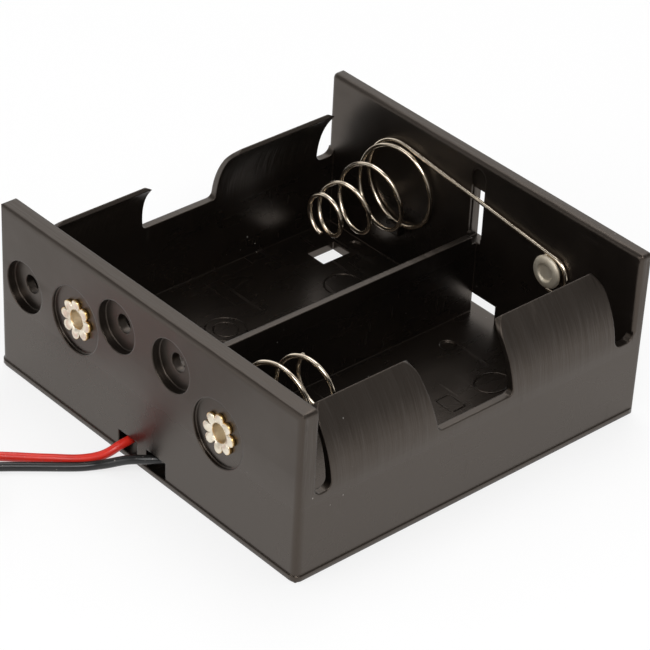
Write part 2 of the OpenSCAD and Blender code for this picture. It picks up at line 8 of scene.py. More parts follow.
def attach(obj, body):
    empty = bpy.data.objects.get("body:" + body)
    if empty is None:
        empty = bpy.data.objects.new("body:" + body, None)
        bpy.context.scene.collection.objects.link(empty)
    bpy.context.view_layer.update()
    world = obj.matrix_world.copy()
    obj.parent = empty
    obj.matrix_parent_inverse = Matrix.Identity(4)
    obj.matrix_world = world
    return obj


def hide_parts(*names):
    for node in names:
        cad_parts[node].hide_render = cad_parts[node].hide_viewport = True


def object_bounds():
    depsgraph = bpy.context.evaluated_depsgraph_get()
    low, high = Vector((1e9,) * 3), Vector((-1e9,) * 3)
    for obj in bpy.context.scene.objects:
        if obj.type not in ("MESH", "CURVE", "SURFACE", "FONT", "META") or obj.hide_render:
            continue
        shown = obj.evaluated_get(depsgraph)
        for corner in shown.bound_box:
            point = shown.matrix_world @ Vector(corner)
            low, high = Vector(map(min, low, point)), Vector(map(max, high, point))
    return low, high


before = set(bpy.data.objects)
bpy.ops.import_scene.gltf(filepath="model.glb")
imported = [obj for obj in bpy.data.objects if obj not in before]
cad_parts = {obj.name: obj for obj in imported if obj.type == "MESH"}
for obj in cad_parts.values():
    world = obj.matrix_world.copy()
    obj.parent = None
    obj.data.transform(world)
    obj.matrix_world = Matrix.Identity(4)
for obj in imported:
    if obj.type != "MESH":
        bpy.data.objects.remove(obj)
cadLow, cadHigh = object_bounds()
print("frame loaded:", len(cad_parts), "nodes")

mm = 0.001
plateFaces = {"frontOut": -36.0, "frontIn": -33.0, "backIn": 33.8}  # x of the plates' faces, mm
contactSpots = {  # y and z where each contact passes through its plate, mm
    "positive": (17.0, 18.6), "negative": (-17.9, 16.8), "link": (-17.9, 18.6),
}

cameraPlan = {  # degrees and metres
    "azimuth": -42.88, "elevation": 33.81, "roll": 3.04,
    "distance": 0.5008, "across": 0.00178, "above": 0.01029, "clip": (0.02, 20),
    "lens": 171.1, "sensor": 36.0, "shift": (-0.0031, -0.0025),
}


def makeCamera(plan):
    azimuth, elevation, roll = (math.radians(plan[k]) for k in ("azimuth", "elevation", "roll"))
    flat = math.cos(elevation)
    back = Vector((math.sin(azimuth) * flat, -math.cos(azimuth) * flat, math.sin(elevation)))
    level = Vector((math.cos(azimuth), math.sin(azimuth), 0))
    up = back.cross(level)
    right = level * math.cos(roll) + up * math.sin(roll)
    top = up * math.cos(roll) - level * math.sin(roll)
    data = bpy.data.cameras.new("camera")
    data.lens, data.sensor_width = plan["lens"], plan["sensor"]
    data.shift_x, data.shift_y = plan["shift"]
    data.clip_start, data.clip_end = plan["clip"]
    camera = bpy.data.objects.new("camera", data)
    bpy.context.scene.collection.objects.link(camera)
    turn = Matrix((right, top, back)).transposed()  # the columns are the camera's own axes
    place = back * plan["distance"] + right * plan["across"] + top * plan["above"]
    camera.matrix_world = Matrix.Translation(place) @ turn.to_4x4()
    bpy.context.scene.camera = camera


makeCamera(cameraPlan)
print("camera made")


class Flow:
    # A value on its way through a material: sums and products of it add Math nodes
    def __init__(self, tree, socket):
        self.tree, self.socket = tree, socket

    def maths(self, operation, *values):
        settings = {"operation": operation}
        return addNode(self.tree, "ShaderNodeMath", settings, dict(enumerate(values)))

    def __add__(self, other):
        return self.maths("ADD", self, other)

    def __sub__(self, other):
        return self.maths("SUBTRACT", self, other)

    def __rsub__(self, other):
        return self.maths("SUBTRACT", other, self)

    def __mul__(self, other):
        return self.maths("MULTIPLY", self, other)

    def __truediv__(self, other):
        return self.maths("DIVIDE", self, other)

    def __lt__(self, other):
        return self.maths("LESS_THAN", self, other)

    __radd__, __rmul__ = __add__, __mul__

    def orMore(self, other):
        return self.maths("MAXIMUM", self, other)

    def ramp(self, low, high):  # 0 at low, 1 at high
        return self.maths("MINIMUM", ((self - low) / (high - low)).orMore(0.0), 1.0)


def addNode(tree, kind, settings=None, values=None, out=0):
    # One node: its settings first, then the values or links of its sockets
    node = tree.nodes.new(kind)
    for name, value in (settings or {}).items():
        setattr(node, name, value)
    for name, value in (values or {}).items():
        if isinstance(value, Flow):
            tree.links.new(value.socket, node.inputs[name])
        elif isinstance(value, tuple) and len(value) == 3 and node.inputs[name].type == "RGBA":
            node.inputs[name].default_value = (*value, 1)
        else:
            node.inputs[name].default_value = value
    return Flow(tree, node.outputs[out])


class Finish:
    # A material with its object coordinates at hand
    def __init__(self, name):
        self.material = bpy.data.materials.new(name)
        self.material.use_nodes = True
        self.tree = self.material.node_tree
        self.tree.nodes.clear()
        self.place = self.add("ShaderNodeTexCoord", out="Object")

    def add(self, kind, settings=None, values=None, out=0):
        return addNode(self.tree, kind, settings, values, out)

    def noise(self, scale, detail, rough, vector=None):
        values = {"Scale": scale, "Detail": detail, "Roughness": rough}
        values["Vector"] = vector or self.place
        return self.add("ShaderNodeTexNoise", {}, values, "Fac")

    def streaks(self, vector, scale, detail, rough, turn=(0.0, 0.0, 0.0)):
        # Noise that is drawn out, by its own scale along each axis
        values = {"Vector": vector, "Scale": scale, "Rotation": turn}
        return self.noise(1.0, detail, rough, self.add("ShaderNodeMapping", {}, values))

    def surface(self):  # the piece's own UV map
        return self.add("ShaderNodeTexCoord", out="UV")

    def mixed(self, factor, first, second):  # two colours, at the Mix node's sockets 6 and 7
        return self.add("ShaderNodeMix", {"data_type": "RGBA"}, {0: factor, 6: first, 7: second}, 2)

    def bumped(self, height, distance, strength, normal=None):
        values = {"Height": height, "Distance": distance, "Strength": strength}
        if normal:
            values["Normal"] = normal
        return self.add("ShaderNodeBump", {}, values)

    def close(self, **values):  # the shader's sockets, with spaces written as underscores
        values = {k.replace("_", " "): v for k, v in values.items()}
        shader = self.add("ShaderNodeBsdfPrincipled", {}, values)
        return self.finished(shader)

    def finished(self, shader):
        out = self.tree.nodes.new("ShaderNodeOutputMaterial")
        self.tree.links.new(shader.socket, out.inputs["Surface"])
        return self.material


def makePiece(name, points, faces, material, replaced=(), uv=None):
    mesh = bpy.data.meshes.new(name)
    mesh.from_pydata(np.asarray(points, float).tolist(), [], [tuple(f) for f in faces])
    if uv is not None:  # one place on the surface for each corner of each face
        mesh.uv_layers.new(name="UVMap").data.foreach_set("uv", np.asarray(uv, np.float32).ravel())
    mesh.polygons.foreach_set("use_smooth", [True] * len(mesh.polygons))
    mesh.materials.append(material)
    mesh.update()
    piece = bpy.data.objects.new(name, mesh)
    bpy.context.scene.collection.objects.link(piece)
    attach(piece, "root")
    if replaced:
        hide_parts(*replaced)
    return piece


def unit(v):
    v = np.asarray(v, float)
    return v / np.linalg.norm(v, axis=-1, keepdims=True)


def lengthsAlong(path):
    return np.r_[0, np.cumsum(np.linalg.norm(np.diff(path, axis=0), axis=1))]


def ringGrid(rows, sides):
    # Row and side of each quad on a grid that closes on itself, and the side after it
    i, j = (g.ravel() for g in np.meshgrid(np.arange(rows - 1), np.arange(sides), indexing="ij"))
    return i, j, (j + 1) % sides


def turnedFaces(rows, sides):
    # Quads between the rings, then a fan to the first ring and one to the last, whose middle
    # points come after all the rings
    i, j, k = ringGrid(rows, sides)
    quads = np.stack([i * sides + j, (i + 1) * sides + j, (i + 1) * sides + k, i * sides + k], -1)
    j = np.arange(sides)
    k, first, last = (j + 1) % sides, rows * sides, (rows - 1) * sides
    start = np.stack([0 * j + first, j, k], -1)
    end = np.stack([0 * j + first + 1, last + k, last + j], -1)
    return quads.tolist() + start.tolist() + end.tolist()


def splineThrough(points, step):
    # Natural cubic spline over the distance along the points, taken again at even steps:
    # each span is (B e^3 + C d^3) / 6g + (p/g - Bg/6) e + (q/g - Cg/6) d, where p and q are its
    # ends, B and C its bends there, g its length, and d and e the distances from them
    p = np.asarray(points, float)
    s = lengthsAlong(p)
    h, n = np.diff(s), len(p)
    i = np.arange(1, n - 1)
    system = np.eye(n)
    system[i, i - 1], system[i, i], system[i, i + 1] = h[:-1], 2 * (h[:-1] + h[1:]), h[1:]
    right = np.zeros_like(p)
    right[1:-1] = 6 * np.diff(np.diff(p, axis=0) / h[:, None], axis=0)
    bend = np.linalg.solve(system, right)
    t = np.linspace(0, s[-1], int(math.ceil(s[-1] / step)) + 1)
    k = np.clip(np.searchsorted(s, t, side="right") - 1, 0, n - 2)
    d, e, g = (t - s[k])[:, None], (s[k + 1] - t)[:, None], h[k][:, None]
    cubic = (bend[k] * e**3 + bend[k + 1] * d**3) / (6 * g)
    return cubic + (p[k] / g - bend[k] * g / 6) * e + (p[k + 1] / g - bend[k + 1] * g / 6) * d


tubePlan = {"hold": 0.04, "closing": (0.9, 0.62)}  # mm, and shares of the radius


def tubeAlong(path, radius, sides, side, ends=2):
    # Rings square to the path: centre + r (cos a u + sin a v), where u is square to side
    path = np.asarray(path, float)
    radius = np.broadcast_to(radius, len(path)).astype(float)
    heading = unit(np.gradient(path, axis=0))
    held = path[[0, -1]] + heading[[0, -1]] * tubePlan["hold"] * np.array([[1], [-1]])
    path = np.r_[path[:1], held[:1], path[1:-1], held[1:], path[-1:]]  # keeps the shading straight
    radius = np.r_[radius[:1], radius[:1], radius[1:-1], radius[-1:], radius[-1:]]
    heading = np.r_[heading[:1], heading[:1], heading[1:-1], heading[-1:], heading[-1:]]
    for shrink in tubePlan["closing"][:ends]:  # smaller rings close each end
        path = np.r_[path[:1], path, path[-1:]]
        radius = np.r_[radius[0] * shrink, radius, radius[-1] * shrink]
        heading = np.r_[heading[:1], heading, heading[-1:]]
    n = len(path)
    u = unit(np.cross(heading, np.broadcast_to(side, heading.shape)))
    v = np.cross(heading, u)
    a = np.arange(sides) * 2 * np.pi / sides
    ring = np.cos(a)[None, :, None] * u[:, None] + np.sin(a)[None, :, None] * v[:, None]
    points = (path[:, None] + radius[:, None, None] * ring).reshape(-1, 3)
    i, j, k = ringGrid(n, sides)
    quads = np.stack([i * sides + j, i * sides + k, (i + 1) * sides + k, (i + 1) * sides + j], -1)
    s = lengthsAlong(path)
    u0, u1 = j / sides, (j + 1) / sides
    corners = [np.stack(c, -1) for c in ((u0, s[i]), (u1, s[i]), (u1, s[i + 1]), (u0, s[i + 1]))]
    uv = np.r_[np.stack(corners, -2).reshape(-1, 2), np.zeros((2 * sides, 2))]
    caps = [list(range(sides))[::-1], list(range((n - 1) * sides, n * sides))]
    return points, quads.tolist() + caps, uv


plasticLook = {  # a noise is its scale, detail and roughness; a bump its distance and strength
    "colour": (0.0013, 0.0011, 0.0010), "pale": (0.0034, 0.0028, 0.0024), "paleFrom": (0.3, 0.75),
    "rough": 0.19, "gloss": 0.77, "tint": (1.0, 0.82, 0.68), "index": 1.55,
    "edge": 0.38, "edgeSamples": 8,  # softening of the sharp edges in mm
    "mottle": (38, 4, 0.6), "mottleTone": 0.6, "mottleRough": 0.1,
    "drift": ((60, 260, 260), 3, 0.55), "driftTone": 0.4, "driftRough": 0.06,
    "driftBump": (4e-5, 0.35),
    "grain": (5200, 2, 0.6), "grainBump": (1.2e-5, 0.6),
    "band": ((420, 45, 45), 3, 0.6), "bandHeight": (13, 19),  # sheen of the bent walls, mm
    "bandRough": 0.24, "bandBump": (4e-4, 0.7),
    "scuff": ((900, 60, 200), 2, 0.5, (0.3, 0.2, 0.7)), "scuffFrom": (0.66, 0.74),
    "scuffTone": 0.1, "scuffRough": 0.12, "scuffColour": (0.03, 0.027, 0.024),
    "speckScale": 420.0, "speckSize": 0.055, "dust": (95, 2, 0.5), "dustFrom": (0.6, 0.66),
    "dustTone": 0.8, "dustRough": 0.3, "dustColour": (0.32, 0.31, 0.29),
}
tieLook = {
    **plasticLook,
    "colour": (0.016, 0.016, 0.016), "pale": (0.03, 0.03, 0.03), "rough": 0.4, "edge": 0.15,
}


def makePlastic(name, look):
    # Moulded black plastic: soft mottling, fine grain, faint flow lines, scuffs and a little dust
    f = Finish(name)
    mottle, grain = f.noise(*look["mottle"]), f.noise(*look["grain"])
    drift, band, scuff = (f.streaks(f.place, *look[k]) for k in ("drift", "band", "scuff"))
    height = f.add("ShaderNodeSeparateXYZ", {}, {"Vector": f.place}, 2)
    band = band * height.ramp(*(h * mm for h in look["bandHeight"]))
    scuff = scuff.ramp(*look["scuffFrom"])
    cells = {"Vector": f.place, "Scale": look["speckScale"]}
    speck = f.add("ShaderNodeTexVoronoi", {"feature": "F1"}, cells) < look["speckSize"]
    dust = speck * f.noise(*look["dust"]).ramp(*look["dustFrom"])
    tone = (mottle * look["mottleTone"] + drift * look["driftTone"]).ramp(*look["paleFrom"])
    base = f.mixed(tone, look["colour"], look["pale"])
    base = f.mixed(scuff * look["scuffTone"], base, look["scuffColour"])
    base = f.mixed(dust * look["dustTone"], base, look["dustColour"])
    rough = mottle * look["mottleRough"] + drift * look["driftRough"] + band * look["bandRough"]
    rough = rough + scuff * look["scuffRough"] + dust * look["dustRough"] + look["rough"]
    edge = {"Radius": look["edge"] * mm}
    normal = f.add("ShaderNodeBevel", {"samples": look["edgeSamples"]}, edge)
    for relief, bump in ((drift, "driftBump"), (band, "bandBump"), (grain, "grainBump")):
        normal = f.bumped(relief, *look[bump], normal)
    return f.close(
        Base_Color=base, Roughness=rough, Normal=normal,
        IOR=look["index"], Specular_IOR_Level=look["gloss"], Specular_Tint=look["tint"])


sheathLook = {
    "waves": ((3.0, 60.0, 1.0), 3, 0.5), "wavesRough": 0.1, "wavesBump": (5e-5, 0.25),
    "blotch": (220, 3, 0.55), "blotchFrom": (0.3, 0.75), "blotchRough": 0.12,
    "speck": (1900, 1, 0.5), "speckFrom": (0.71, 0.75), "speckTone": 0.35,
    "speckColour": (0.5, 0.42, 0.38), "rough": 0.21, "index": 1.5,
    "red": ((0.70, 0.030, 0.016), (0.52, 0.014, 0.008)),
    "black": ((0.0055, 0.005, 0.005), (0.012, 0.0115, 0.011)),
}


def makeSheath(name, look, colour):
    # Extruded insulation, from its own UV: u runs round it and v along it in metres
    f = Finish(name)
    waves = f.streaks(f.surface(), *look["waves"])
    blotch, speck = f.noise(*look["blotch"]), f.noise(*look["speck"]).ramp(*look["speckFrom"])
    base = f.mixed(blotch.ramp(*look["blotchFrom"]), *look[colour])
    base = f.mixed(speck * look["speckTone"], base, look["speckColour"])
    rough = blotch * look["blotchRough"] + waves * look["wavesRough"] + look["rough"]
    normal = f.bumped(waves, *look["wavesBump"])
    return f.close(Base_Color=base, Roughness=rough, Normal=normal, IOR=look["index"])


wireLook = {
    "lines": ((22.0, 90.0, 1.0), 3, 0.6), "linesRough": 0.1, "linesBump": (3e-5, 0.25),
    "tarnish": (240, 4, 0.6), "tarnishFrom": (0.52, 0.72), "tarnishTone": 0.5, "tarnishRough": 0.12,
    "bright": (0.92, 0.80, 0.64), "dull": (0.58, 0.44, 0.30), "rough": 0.13,
}


def makeWire(name, look):
    # Bright nickel-plated spring wire with drawing marks along it and a few dull patches
    f = Finish(name)
    lines = f.streaks(f.surface(), *look["lines"])
    tarnish = f.noise(*look["tarnish"]).ramp(*look["tarnishFrom"])
    base = f.mixed(tarnish * look["tarnishTone"], look["bright"], look["dull"])
    rough = lines * look["linesRough"] + tarnish * look["tarnishRough"] + look["rough"]
    normal = f.bumped(lines, *look["linesBump"])
    return f.close(Base_Color=base, Roughness=rough, Metallic=1.0, Normal=normal)


plateLook = {
    "patch": (700, 4, 0.65), "patchFrom": (0.35, 0.75), "patchRough": 0.16,
    "patchBump": (4e-5, 0.4), "fine": (3600, 2, 0.5), "fineRough": 0.1,
    "worn": 0.7, "wornFrom": (0.42, 0.8),
    "bright": (0.90, 0.83, 0.70), "dull": (0.74, 0.65, 0.51), "brass": (0.86, 0.54, 0.18),
}


def makePlate(name, look, rough):
    # Nickel over brass: v of the UV is 1 where the metal was bent hard and the brass shows
    f = Finish(name)
    bare = f.add("ShaderNodeSeparateXYZ", {}, {"Vector": f.surface()}, 1)
    patch, fine = f.noise(*look["patch"]), f.noise(*look["fine"])
    worn = (bare + (patch - 0.5) * look["worn"]).ramp(*look["wornFrom"])
    base = f.mixed(patch.ramp(*look["patchFrom"]), look["bright"], look["dull"])
    base = f.mixed(worn, base, look["brass"])
    rough = patch * look["patchRough"] + fine * look["fineRough"] + rough
    normal = f.bumped(patch, *look["patchBump"])
    return f.close(Base_Color=base, Roughness=rough, Metallic=1.0, Normal=normal)


tinLook = {
    "patch": (900, 4, 0.6), "patchFrom": (0.3, 0.7), "patchRough": 0.22, "rough": 0.2,
    "frost": (5200, 2, 0.6), "frostBump": (3e-5, 0.5),
    "bright": (0.74, 0.74, 0.73), "dull": (0.55, 0.55, 0.54),
}


def makeTin(name, look):
    # Solder and tinned strands: pale grey, frosted in places
    f = Finish(name)
    patch, frost = f.noise(*look["patch"]), f.noise(*look["frost"])
    base = f.mixed(patch.ramp(*look["patchFrom"]), look["bright"], look["dull"])
    rough = patch * look["patchRough"] + look["rough"]
    normal = f.bumped(frost, *look["frostBump"])
    return f.close(Base_Color=base, Roughness=rough, Metallic=1.0, Normal=normal)


housingPlastic = makePlastic("housingPlastic", plasticLook)
tiePlastic = makePlastic("tiePlastic", tieLook)
redSheath = makeSheath("redSheath", sheathLook, "red")
blackSheath = makeSheath("blackSheath", sheathLook, "black")
wireNickel = makeWire("wireNickel", wireLook)
contactNickel = makePlate("contactNickel", plateLook, 0.24)
rivetNickel = makePlate("rivetNickel", plateLook, 0.44)
solderTin = makeTin("solderTin", tinLook)
print("finishes made")

leadPlan = {  # mm, degrees and turns; each route starts at its window
    "diameter": 1.5, "coilDiameter": 15.5, "coilTurns": 2, "coilStep": 4, "step": 0.5, "sides": 20,
    "red": {
        "route": [
            (0, 3.8, 2.9), (-1.4, 3.8, 2.8), (-2.8, 4.0, 2.3), (-4.1, 4.7, 1.6), (-5.6, 5.8, 1.1),
            (-7.4, 7.3, 0.8), (-9.5, 9.1, 0.8), (-11.8, 11.1, 0.8), (-14.2, 13.3, 0.8),
            (-16.6, 15.4, 0.8), (-19, 17.5, 0.8), (-21.2, 19.5, 0.8), (-23.4, 21.6, 0.9),
            (-25.5, 23.7, 1.1), (-27.6, 25.8, 1.2)],
        "turn": 1, "spot": contactSpots["positive"], "tail": -45},
    "black": {
        "route": [
            (0, -2.3, 3.0), (-1.3, -1.3, 3.0), (-2.5, -0.1, 2.8), (-3.5, 1.2, 2.2),
            (-4.5, 2.5, 1.5), (-5.8, 3.8, 1.0), (-7.5, 5.0, 0.8), (-9.6, 6.5, 0.8),
            (-12.0, 8.4, 0.8), (-14.4, 10.3, 0.8), (-17, 12.3, 0.8), (-19.8, 14.3, 0.8),
            (-22.6, 16.2, 0.9), (-25.5, 17.9, 1.1), (-28.4, 19.5, 1.2)],
        "turn": -1, "spot": contactSpots["negative"], "tail": -20},
    "freeEnd": [
        (0, 0, 0), (2, 0, 0), (4, 0.1, -0.2), (5.9, 0.3, -0.6), (7.7, 0.6, -1.1), (9.5, 0.9, -1.6)],
    "tip": {
        "width": 0.9, "length": 6.0, "lay": 4.5, "uneven": 0.12, "strand": 0.99, "steps": 33,
        "sides": 8},
    "inside": {
        "lift": 0.46, "rise": 1.6, "forward": 5, "pull": 11, "on": 0.3, "slim": 0.98, "steps": 70},
}


def leadRoute(lead):
    return np.array(lead["route"]) + (plateFaces["frontOut"], 0, 0)


def leadPath(plan, lead):
    # The route outside, then the coil as a helix from the route's last point, centre - r cos a w +
    # r sin a h, where h is the way ahead and w the way to the coil's middle, then the free end
    route = leadRoute(lead)
    h = unit((route[-1] - route[-2]) * (1, 1, 0))
    w = np.array([h[1], -h[0], 0]) * lead["turn"]
    r = plan["coilDiameter"] / 2
    steps = plan["coilTurns"] * 360 // plan["coilStep"]
    a = np.radians(np.arange(steps + 1) * plan["coilStep"])[:, None]
    rise = a / (2 * np.pi) * plan["diameter"] * np.array([0, 0, 1.0])
    coil = route[-1] + r * w - r * np.cos(a) * w + r * np.sin(a) * h + rise
    free = np.array(plan["freeEnd"])
    end = coil[-1] + free[:, :1] * h - free[:, 1:2] * w + free[:, 2:] * (0, 0, 1)
    outside = splineThrough(route, plan["step"])
    return np.r_[outside, coil[1:], splineThrough(end, plan["step"])[1:]]


def makeLead(plan, colour, sheath):
    path = leadPath(plan, plan[colour])
    points, faces, uv = tubeAlong(path, plan["diameter"] / 2, plan["sides"], (0, 0, 1))
    lead = makePiece(
        f"{colour}Lead", points * mm, faces, sheath, uv=uv * (1, mm),
        replaced=[f"{colour}_lead", f"{colour}_lead_coil", f"{colour}_lead_end"])
    tip = makeTip(plan["tip"], path[-1], path[-1] - path[-2], colour)


def makeTip(plan, start, heading, colour):
    # Seven tinned strands: one straight, and six round it as helices of radius 2 r
    h = unit(heading)
    u = unit(np.cross(h, (0, 0, 1)))
    v = np.cross(h, u)
    t = np.linspace(0, 1, plan["steps"])[:, None]
    r = plan["width"] / 6
    points, faces, uv, base = [], [], [], 0
    for k in range(7):
        a = (k * np.pi / 3 if k else 0) + t * plan["length"] / plan["lay"] * 2 * np.pi
        off = 2 * r if k else 0
        along = t * (plan["length"] - plan["uneven"] * (k % 3)) * h
        path = start + along + off * (np.cos(a) * u + np.sin(a) * v)
        strand, quads, places = tubeAlong(path, r * plan["strand"], plan["sides"], v, 1)
        points.append(strand)
        faces += [[c + base for c in q] for q in quads]
        uv.append(places)
        base += len(strand)
    return makePiece(
        f"{colour}LeadTip", np.concatenate(points) * mm, faces, solderTin,
        uv=np.concatenate(uv) * (1, mm), replaced=[f"{colour}_lead_tip"])


makeLead(leadPlan, "red", redSheath)
makeLead(leadPlan, "black", blackSheath)
print("leads laid")

solidPlan = {  # node: name, slot, rounding of the sharp edges in mm
    "housing": ("holderHousing", "housing_plastic", 0),
    "positive_lug": ("positiveLug", "contact_metal", 0.06),
    "negative_lug": ("negativeLug", "contact_metal", 0.06),
    "red_coil_tie": ("redCoilTie", "tie_plastic", 0.06),
    "black_coil_tie": ("blackCoilTie", "tie_plastic", 0.06),
}
solidFinish = {
    "housing_plastic": housingPlastic, "contact_metal": contactNickel, "tie_plastic": tiePlastic,
}
mergePlan = {  # mm and degrees
    "merge": 0.002, "flat": 0.5, "sharp": 32, "segments": 2, "weight": 60, "threshold": 0.01,
}
rimPlan = {  # the back plate's inner rim, mm
    "x": plateFaces["backIn"], "side": 36.6, "foot": 16.3, "arc": 28.59, "middle": 2,
    "near": 0.01, "spare": 0.5, "radius": 0.8, "segments": 4,
    "angle": 1,  # the plate turns by more than this there, radians
}


def easeRim(shape, plan):
    # The rim, from above the side wall up, over the top and down again, becomes a round edge
    def height(v):
        return v.co.z / mm

    def onPlate(v):
        return abs(v.co.x / mm - plan["x"]) < plan["near"]

    def atSide(v):
        return abs(abs(v.co.y) / mm - plan["side"]) < plan["near"]

    for edge in [e for e in shape.edges if all(onPlate(v) and atSide(v) for v in e.verts)]:
        low, high = sorted(edge.verts, key=height)
        below, above = plan["foot"] - height(low), height(high) - plan["foot"]
        if min(below, above) > plan["spare"]:
            share = below / (height(high) - height(low))
            bmesh.utils.edge_split(edge, low, share)

    def onRim(edge):
        if not edge.is_manifold or not all(onPlate(v) for v in edge.verts):
            return False
        if edge.calc_face_angle() <= plan["angle"]:
            return False
        if all(atSide(v) and height(v) > plan["foot"] - plan["near"] for v in edge.verts):
            return True
        out = min(abs(v.co.y) for v in edge.verts) / mm
        return out > plan["middle"] and min(height(v) for v in edge.verts) > plan["arc"]

    rim = [e for e in shape.edges if onRim(e)]
    bmesh.ops.bevel(
        shape, geom=rim, offset=plan["radius"] * mm, offset_type="OFFSET",
        segments=plan["segments"], profile=0.5, affect="EDGES", clamp_overlap=False)
    print("rim edges rounded:", len(rim))


cornerPlan = {"centre": (34.8, 28.6), "radius": 1.8, "crisp": 0.7, "plates": 32.9}  # mm


def crisperCorner(p, plan, side):
    # Near a plate's top corner on one side, each point moves straight out from the corner's centre,
    # by as much as a square with small round corners stands out past the quarter circle there
    centre, way = np.array(plan["centre"]) * (side, 1), np.array((side, 1))
    radius, crisp = plan["radius"], plan["crisp"]
    out = (p[:, 1:] - centre) * way
    near = (np.abs(p[:, 0]) > plan["plates"]) & (out > 0.001).all(1)
    out = out[near]
    a = np.arctan2(out[:, 1], out[:, 0])
    c = radius - crisp
    root = np.clip(crisp**2 - c**2 * (1 - np.sin(2 * a)), 0, None)
    rounded = c * (np.cos(a) + np.sin(a)) + np.sqrt(root)
    straight = radius / np.maximum(np.cos(a), np.sin(a))
    flat = radius * np.tan(np.minimum(a, np.pi / 2 - a)) <= c
    grow = np.where(flat, straight, rounded) / radius
    q = p.copy()
    q[near, 1:] = centre + out * grow[:, None] * way
    return q


earPlan = {  # mm and degrees
    "axis": (19.6, 14.2), "outer": 17.0, "wall": 1.4, "spare": 0.2, "angle": 47.8, "taper": 0.45,
    "plates": 32.9,
}


def thinnerTips(p, plan):
    # The bent walls thin towards their tips: depth under the outer face times
    # 1 - taper (3 s^2 - 2 s^3), where s is the share of the arc
    axis, half = plan["axis"], plan["wall"] / 2
    y, z = np.abs(p[:, 1]) - axis[0], p[:, 2] - axis[1]
    reach, angle = np.hypot(y, z), np.arctan2(z, y)
    depth = plan["outer"] - reach
    inWall = np.abs(depth - half) < half + plan["spare"]
    bent = (z > 0) & inWall & (np.abs(p[:, 0]) < plan["plates"])
    s = np.clip(angle / math.radians(plan["angle"]), 0, 1)
    reach = plan["outer"] - depth * (1 - plan["taper"] * s * s * (3 - 2 * s))
    side = np.sign(p[:, 1]) * (axis[0] + reach * np.cos(angle))
    q = p.copy()
    q[bent, 1:] = np.stack([side, axis[1] + reach * np.sin(angle)], -1)[bent]
    return q


def cornerNormals(mesh, sharp):
    # At each face corner: the sum of the normals round the point that lie within the sharp angle of
    # the face's own, each weighed by the whole area of the flat region that its face belongs to
    def read(things, name, count, kind=float):
        values = np.empty(count, kind)
        things.foreach_get(name, values)
        return values

    faces, corners = len(mesh.polygons), len(mesh.loops)
    normal = read(mesh.polygons, "normal", faces * 3).reshape(-1, 3)
    area = read(mesh.polygons, "area", faces)
    start = read(mesh.polygons, "loop_start", faces, int)
    count = read(mesh.polygons, "loop_total", faces, int)
    point = read(mesh.loops, "vertex_index", corners, int)
    place = read(mesh.vertices, "co", len(mesh.vertices) * 3).reshape(-1, 3)
    order = np.concatenate([np.arange(a, a + n) for a, n in zip(start, count)])
    face = np.empty(corners, int)
    face[order] = np.repeat(np.arange(faces), count)
    level = (normal * place[point[start]]).sum(1)
    steps, depth = 400, 0.01 * mm  # how finely two faces' planes are told apart
    plane = np.round(np.c_[normal * steps, level / depth]).astype(int)
    _, region = np.unique(plane, axis=0, return_inverse=True)  # faces of one plane share a row
    weight = np.bincount(region.ravel(), area)[region.ravel()]
    facesAt = [[] for _ in range(len(mesh.vertices))]
    for f, v in zip(face, point):
        facesAt[v].append(f)
    limit = math.cos(math.radians(sharp))
    result = np.empty((corners, 3))
    for c, (f, v) in enumerate(zip(face, point)):
        near = np.array(facesAt[v])
        near = near[normal[near] @ normal[f] > limit]
        result[c] = (normal[near] * weight[near, None]).sum(0)
    return unit(result).tolist()


def reshapeHousing(shape):
    easeRim(shape, rimPlan)
    p = np.array([v.co for v in shape.verts]) / mm
    for side in (1, -1):
        p = crisperCorner(p, cornerPlan, side)
    for v, place in zip(shape.verts, thinnerTips(p, earPlan) * mm):
        v.co = place


def makeSolid(node, name, slot, width, plan):
    # A merged copy of the solid, with its flat faces joined; small pieces get their edges rounded
    shape = bmesh.new()
    shape.from_mesh(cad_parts[node].data)
    bmesh.ops.remove_doubles(shape, verts=shape.verts, dist=plan["merge"] * mm)
    bmesh.ops.dissolve_limit(
        shape, angle_limit=math.radians(plan["flat"]), verts=shape.verts, edges=shape.edges)
    if node == "housing":
        reshapeHousing(shape)
    mesh = bpy.data.meshes.new(name)
    shape.to_mesh(mesh)
    shape.free()
    mesh.materials.clear()
    mesh.materials.append(solidFinish[slot])
    mesh.polygons.foreach_set("material_index", [0] * len(mesh.polygons))
    mesh.polygons.foreach_set("use_smooth", [True] * len(mesh.polygons))
    mesh.update()
    piece = bpy.data.objects.new(name, mesh)
    bpy.context.scene.collection.objects.link(piece)
    if width:
        bevel = piece.modifiers.new("roundEdges", "BEVEL")
        bevel.width, bevel.segments = width * mm, plan["segments"]
        bevel.limit_method, bevel.angle_limit = "ANGLE", math.radians(plan["sharp"])
        even = piece.modifiers.new("evenShading", "WEIGHTED_NORMAL")
        even.mode, even.weight, even.thresh = "FACE_AREA", plan["weight"], plan["threshold"]
    else:
        mesh.normals_split_custom_set(cornerNormals(mesh, plan["sharp"]))
    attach(piece, "root")
    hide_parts(node)


for node, (name, slot, width) in solidPlan.items():
    makeSolid(node, name, slot, width, mergePlan)
print("moulded and stamped pieces finished")

markPlan = {  # mm
    "floor": 1.5, "height": 0.12, "width": 0.35, "sunk": 0.01, "foot": 0.03, "sides": 96, "bead": 7,
}
floorMarks = [  # name, centre, half sizes, power of the outline: 2 is an oval, more is squarer
    ("ringMarkNear", (22.0, 18.2), (3.4, 3.4), 2),
    ("ringMarkFar", (-2.5, 20.0), (3.5, 3.5), 2),
    ("ringMarkInner", (-2.5, 20.0), (2.1, 2.1), 2),
    ("ovalMark", (22.0, -18.2), (3.2, 2.6), 2),
    ("squareMark", (12.7, -18.25), (1.5, 1.95), 9),
]


